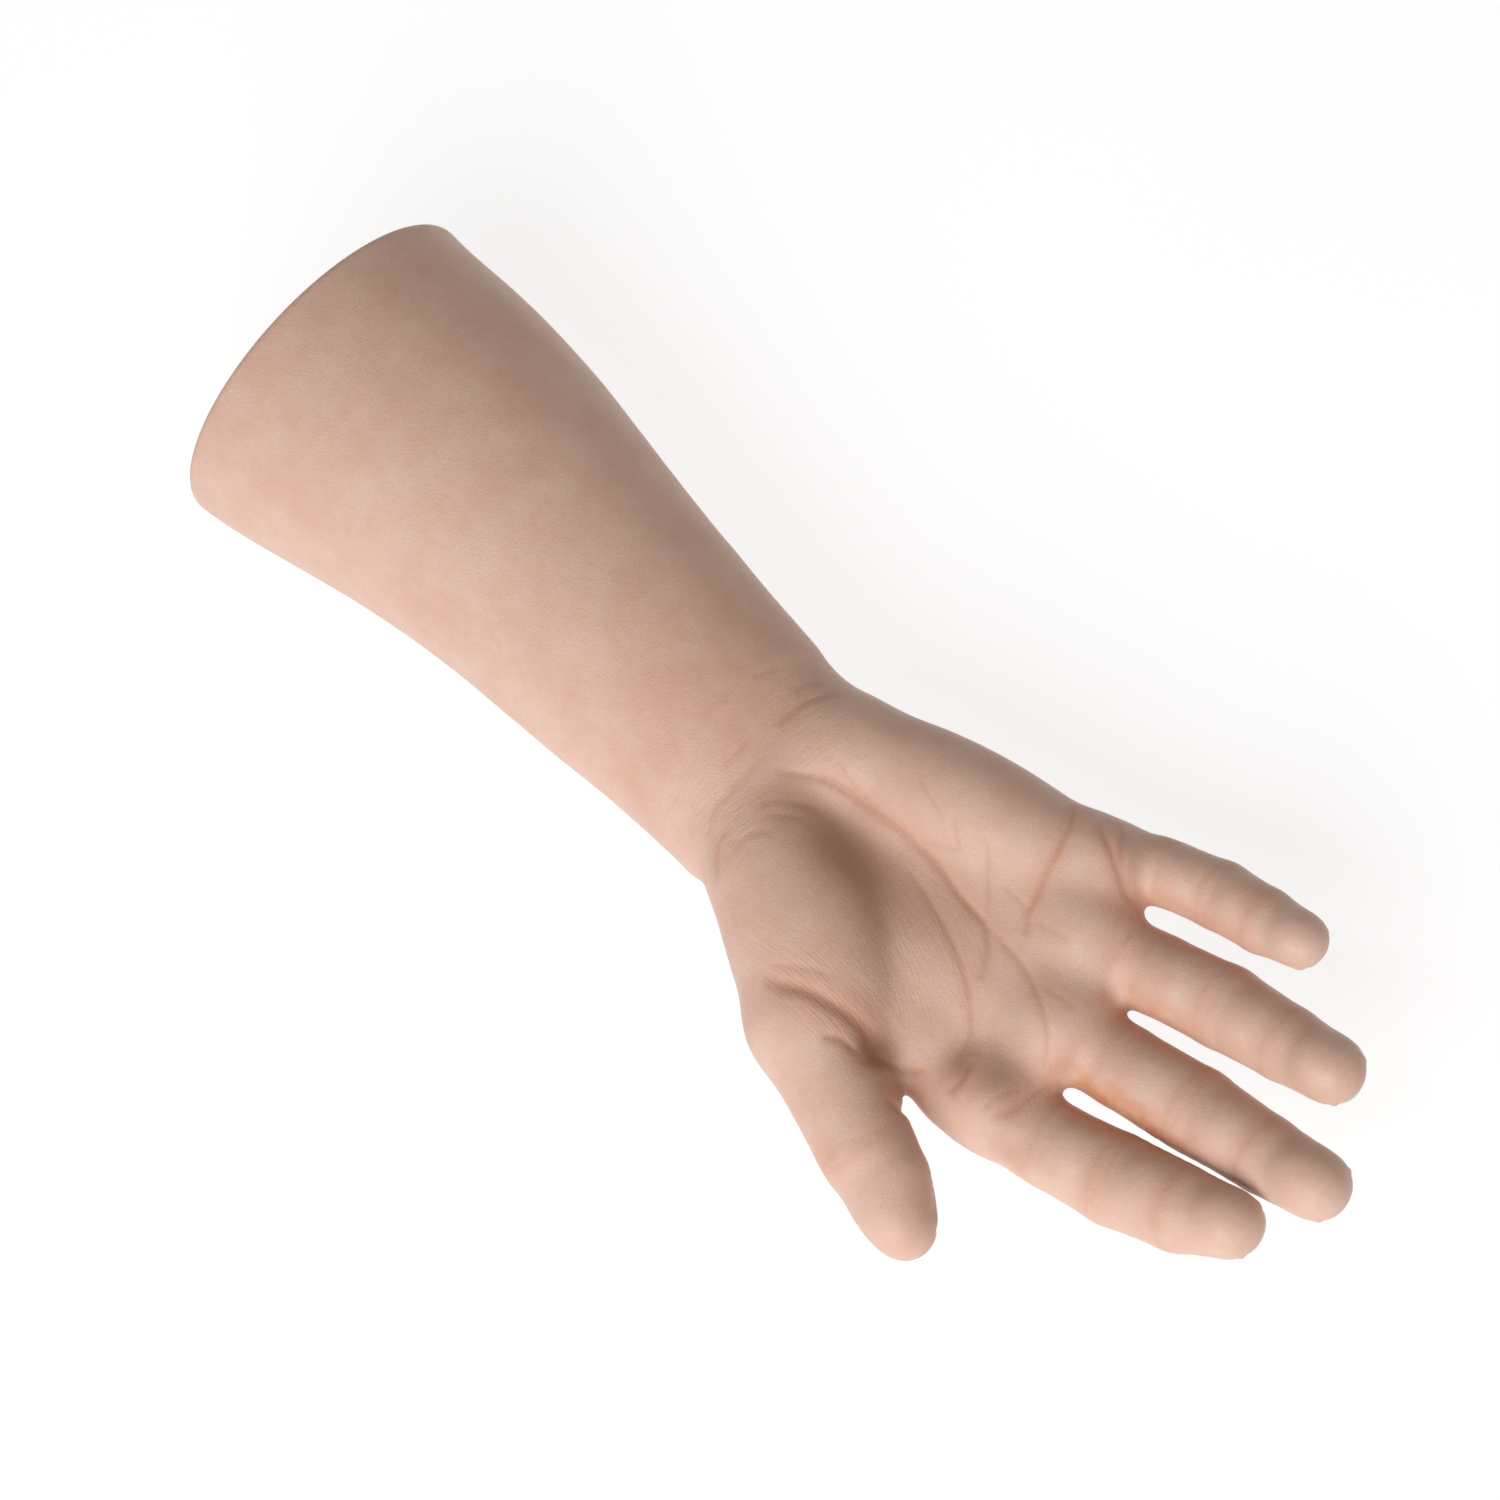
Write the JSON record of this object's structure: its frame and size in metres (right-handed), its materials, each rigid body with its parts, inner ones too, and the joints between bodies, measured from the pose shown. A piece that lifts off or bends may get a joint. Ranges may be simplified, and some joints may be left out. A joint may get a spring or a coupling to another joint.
{
  "type": "prosthetic hand",
  "caption": "Passive right hand prosthesis with lifelike silicone skin, forearm-length socket, friction wrist, and fingers and thumb on hinged armatures.",
  "frame": {"origin": "centre of the socket brim, in the plane of its end face", "axes": "+X along the forearm towards the fingers, +Y to the little-finger side, +Z out of the palm"},
  "size_m": [0.3513, 0.1294, 0.076],
  "materials": {
    "silicone_skin": "soft matt, skin-toned silicone",
    "laminate": "resin laminate, satin",
    "liner_gel": "soft gel, matt",
    "foam": "rigid foam, matt",
    "aluminium": "machined, satin anodised",
    "steel": "ground stainless steel",
    "bronze": "sintered bronze",
    "nail_acrylic": "polished acrylic nail"
  },
  "bodies": {
    "forearm": {"forearm_skin": "silicone_skin", "socket_shell": "laminate", "socket_liner": "liner_gel", "forearm_filler": "foam", "lamination_ring": "aluminium", "ring_screws": "steel", "friction_bush": "bronze"},
    "wrist": {"wrist_rotor": "aluminium", "spring_washer": "steel", "rotor_nut": "steel", "wrist_pin": "steel"},
    "palm": {"palm_chassis": "aluminium", "palm_filler": "foam", "palm_skin": "silicone_skin", "thenar_pad": "foam", "thumb_arm": "aluminium", "arm_screws": "steel", "swing_pin": "steel", "knuckle_pins": "steel"},
    "index_proximal": {"index_proximal_link": "aluminium", "index_proximal_sleeve": "silicone_skin", "index_joint_pin": "steel"},
    "index_tip": {"index_tip_link": "aluminium", "index_tip_sleeve": "silicone_skin", "index_nail": "nail_acrylic"},
    "middle_proximal": {"middle_proximal_link": "aluminium", "middle_proximal_sleeve": "silicone_skin", "middle_joint_pin": "steel"},
    "middle_tip": {"middle_tip_link": "aluminium", "middle_tip_sleeve": "silicone_skin", "middle_nail": "nail_acrylic"},
    "ring_proximal": {"ring_proximal_link": "aluminium", "ring_proximal_sleeve": "silicone_skin", "ring_joint_pin": "steel"},
    "ring_tip": {"ring_tip_link": "aluminium", "ring_tip_sleeve": "silicone_skin", "ring_nail": "nail_acrylic"},
    "little_proximal": {"little_proximal_link": "aluminium", "little_proximal_sleeve": "silicone_skin", "little_joint_pin": "steel"},
    "little_tip": {"little_tip_link": "aluminium", "little_tip_sleeve": "silicone_skin", "little_nail": "nail_acrylic"},
    "thumb_proximal": {"thumb_proximal_link": "aluminium", "thumb_proximal_sleeve": "silicone_skin", "thumb_joint_pin": "steel"},
    "thumb_tip": {"thumb_tip_link": "aluminium", "thumb_tip_sleeve": "silicone_skin", "thumb_nail": "nail_acrylic"}
  },
  "joints": [
    {"name": "wrist_rotation", "type": "hinge", "parent": "forearm", "child": "wrist", "pos_m": [0.157, 0, 0], "axis": [1, 0, 0], "range_deg": [-25, 25]},
    {"name": "wrist_flexion", "type": "hinge", "parent": "wrist", "child": "palm", "pos_m": [0.172, 0, 0], "axis": [0, -1, 0], "range_deg": [-20, 25]},
    {"name": "index_knuckle", "type": "hinge", "parent": "palm", "child": "index_proximal", "pos_m": [0.28225, -0.01991, 0], "axis": [0.2807, -0.9598, 0], "range_deg": [-12, 45]},
    {"name": "index_middle_joint", "type": "hinge", "parent": "index_proximal", "child": "index_tip", "pos_m": [0.30311, -0.01381, 0.00344], "axis": [0.2807, -0.9598, 0], "range_deg": [-10, 55]},
    {"name": "middle_knuckle", "type": "hinge", "parent": "palm", "child": "middle_proximal", "pos_m": [0.2812, 0.00505, 0], "axis": [0.1702, -0.9854, 0], "range_deg": [-12, 45]},
    {"name": "middle_middle_joint", "type": "hinge", "parent": "middle_proximal", "child": "middle_tip", "pos_m": [0.3065, 0.00942, 0.00407], "axis": [0.1702, -0.9854, 0], "range_deg": [-10, 55]},
    {"name": "ring_knuckle", "type": "hinge", "parent": "palm", "child": "ring_proximal", "pos_m": [0.27311, 0.02581, 0], "axis": [0.2164, -0.9763, 0], "range_deg": [-12, 45]},
    {"name": "ring_middle_joint", "type": "hinge", "parent": "ring_proximal", "child": "ring_tip", "pos_m": [0.2949, 0.03064, 0.00353], "axis": [0.2164, -0.9763, 0], "range_deg": [-10, 55]},
    {"name": "little_knuckle", "type": "hinge", "parent": "palm", "child": "little_proximal", "pos_m": [0.25976, 0.04423, 0], "axis": [0.279, -0.9603, 0], "range_deg": [-12, 45]},
    {"name": "little_middle_joint", "type": "hinge", "parent": "little_proximal", "child": "little_tip", "pos_m": [0.27612, 0.04898, 0.00239], "axis": [0.279, -0.9603, 0], "range_deg": [-10, 55]},
    {"name": "thumb_swing", "type": "hinge", "parent": "palm", "child": "thumb_proximal", "pos_m": [0.23829, -0.04224, 0.01], "axis": [-0.9925, -0.1219, 0], "range_deg": [-15, 20]},
    {"name": "thumb_end_joint", "type": "hinge", "parent": "thumb_proximal", "child": "thumb_tip", "pos_m": [0.25524, -0.05023, 0.01], "axis": [-0.2963, -0.8319, -0.4693], "range_deg": [-10, 50]}
  ]
}
